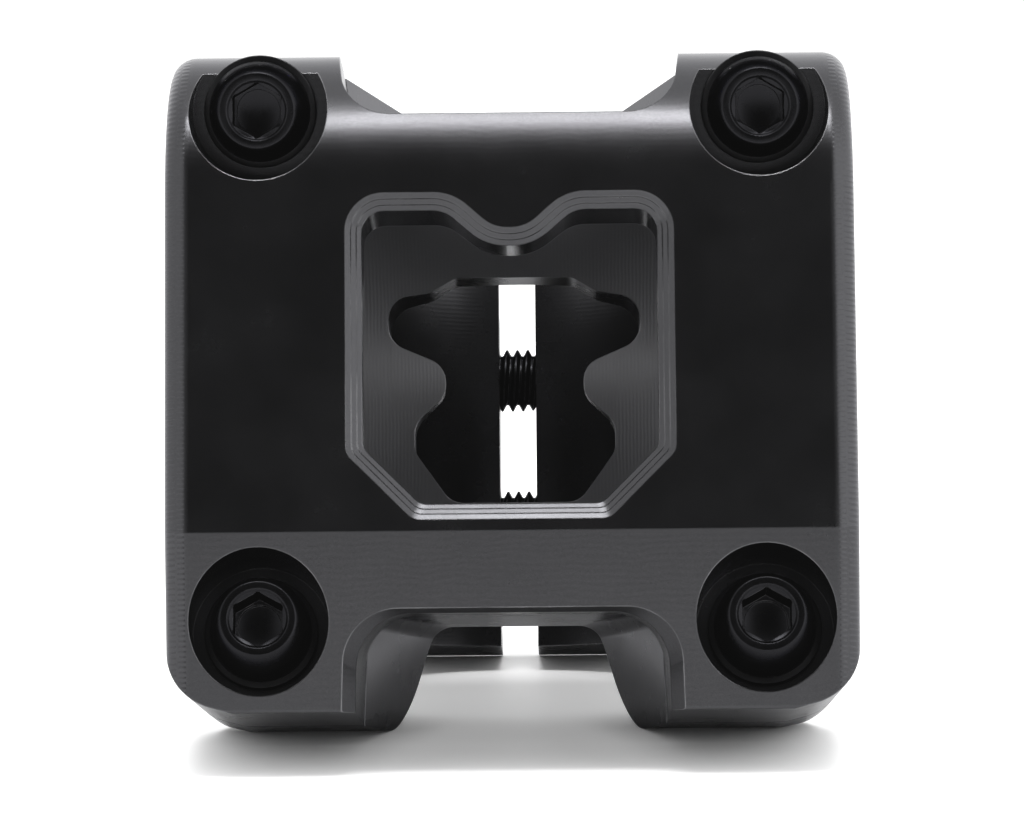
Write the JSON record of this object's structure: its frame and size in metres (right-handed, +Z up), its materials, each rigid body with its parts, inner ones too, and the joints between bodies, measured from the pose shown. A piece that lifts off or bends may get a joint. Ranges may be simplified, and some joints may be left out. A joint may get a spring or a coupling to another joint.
{
  "type": "handlebar stem",
  "caption": "Short machined handlebar stem: windowed faceplate on angled socket bolts, split steerer clamp with opposed pinch bolts, black anodised finish.",
  "frame": {"origin": "centre of the steerer bore, at half the height of the steerer clamp", "axes": "+Z up along the steerer, -Y forward to the faceplate, X along the handlebar"},
  "size_m": [0.0572, 0.0798, 0.0579],
  "materials": {
    "anodised_body": "satin black anodised",
    "anodised_faceplate": "satin black anodised",
    "bolt_steel": "black oxide",
    "washer_steel": "black oxide"
  },
  "bodies": {
    "stem": {"stem_body": "anodised_body", "faceplate": "anodised_faceplate"},
    "faceplate_bolt_upper_left_washer": {"faceplate_washer_upper_left": "washer_steel"},
    "faceplate_bolt_upper_left": {"faceplate_bolt_upper_left": "bolt_steel"},
    "faceplate_bolt_upper_right_washer": {"faceplate_washer_upper_right": "washer_steel"},
    "faceplate_bolt_upper_right": {"faceplate_bolt_upper_right": "bolt_steel"},
    "faceplate_bolt_lower_left_washer": {"faceplate_washer_lower_left": "washer_steel"},
    "faceplate_bolt_lower_left": {"faceplate_bolt_lower_left": "bolt_steel"},
    "faceplate_bolt_lower_right_washer": {"faceplate_washer_lower_right": "washer_steel"},
    "faceplate_bolt_lower_right": {"faceplate_bolt_lower_right": "bolt_steel"},
    "pinch_bolt_upper_washer": {"pinch_washer_upper": "washer_steel"},
    "pinch_bolt_upper": {"pinch_bolt_upper": "bolt_steel"},
    "pinch_bolt_lower_washer": {"pinch_washer_lower": "washer_steel"},
    "pinch_bolt_lower": {"pinch_bolt_lower": "bolt_steel"}
  },
  "joints": [
    {"name": "faceplate_bolt_upper_left_advance", "type": "slide", "parent": "stem", "child": "faceplate_bolt_upper_left_washer", "axis": [0, -0.9863, -0.165], "range_m": [0, 0.0032]},
    {"name": "faceplate_bolt_upper_left_turn", "type": "hinge", "parent": "faceplate_bolt_upper_left_washer", "child": "faceplate_bolt_upper_left", "pos_m": [-0.0208, -0.0476, 0.02154], "axis": [0, -0.9863, -0.165], "range_deg": [0, 1441]},
    {"name": "faceplate_bolt_upper_right_advance", "type": "slide", "parent": "stem", "child": "faceplate_bolt_upper_right_washer", "axis": [0, -0.9863, -0.165], "range_m": [0, 0.0032]},
    {"name": "faceplate_bolt_upper_right_turn", "type": "hinge", "parent": "faceplate_bolt_upper_right_washer", "child": "faceplate_bolt_upper_right", "pos_m": [0.0208, -0.0476, 0.02154], "axis": [0, -0.9863, -0.165], "range_deg": [0, 1441]},
    {"name": "faceplate_bolt_lower_left_advance", "type": "slide", "parent": "stem", "child": "faceplate_bolt_lower_left_washer", "axis": [0, -0.9863, 0.165], "range_m": [0, 0.0032]},
    {"name": "faceplate_bolt_lower_left_turn", "type": "hinge", "parent": "faceplate_bolt_lower_left_washer", "child": "faceplate_bolt_lower_left", "pos_m": [-0.0208, -0.0476, -0.02244], "axis": [0, -0.9863, 0.165], "range_deg": [0, 1441]},
    {"name": "faceplate_bolt_lower_right_advance", "type": "slide", "parent": "stem", "child": "faceplate_bolt_lower_right_washer", "axis": [0, -0.9863, 0.165], "range_m": [0, 0.0032]},
    {"name": "faceplate_bolt_lower_right_turn", "type": "hinge", "parent": "faceplate_bolt_lower_right_washer", "child": "faceplate_bolt_lower_right", "pos_m": [0.0208, -0.0476, -0.02244], "axis": [0, -0.9863, 0.165], "range_deg": [0, 1441]},
    {"name": "pinch_bolt_upper_advance", "type": "slide", "parent": "stem", "child": "pinch_bolt_upper_washer", "axis": [1, 0, 0], "range_m": [0, 0.005]},
    {"name": "pinch_bolt_upper_turn", "type": "hinge", "parent": "pinch_bolt_upper_washer", "child": "pinch_bolt_upper", "pos_m": [0.0072, 0.0194, 0.0072], "axis": [1, 0, 0], "range_deg": [0, 1801]},
    {"name": "pinch_bolt_lower_advance", "type": "slide", "parent": "stem", "child": "pinch_bolt_lower_washer", "axis": [-1, 0, 0], "range_m": [0, 0.005]},
    {"name": "pinch_bolt_lower_turn", "type": "hinge", "parent": "pinch_bolt_lower_washer", "child": "pinch_bolt_lower", "pos_m": [-0.0072, 0.0194, -0.0066], "axis": [-1, 0, 0], "range_deg": [0, 1801]}
  ],
  "couplings": [
    {"joint": "faceplate_bolt_upper_left_turn", "follows": "faceplate_bolt_upper_left_advance", "rad_per_m": 7854},
    {"joint": "faceplate_bolt_upper_right_turn", "follows": "faceplate_bolt_upper_right_advance", "rad_per_m": 7854},
    {"joint": "faceplate_bolt_lower_left_turn", "follows": "faceplate_bolt_lower_left_advance", "rad_per_m": 7854},
    {"joint": "faceplate_bolt_lower_right_turn", "follows": "faceplate_bolt_lower_right_advance", "rad_per_m": 7854},
    {"joint": "pinch_bolt_upper_turn", "follows": "pinch_bolt_upper_advance", "rad_per_m": 6283.2},
    {"joint": "pinch_bolt_lower_turn", "follows": "pinch_bolt_lower_advance", "rad_per_m": 6283.2}
  ]
}
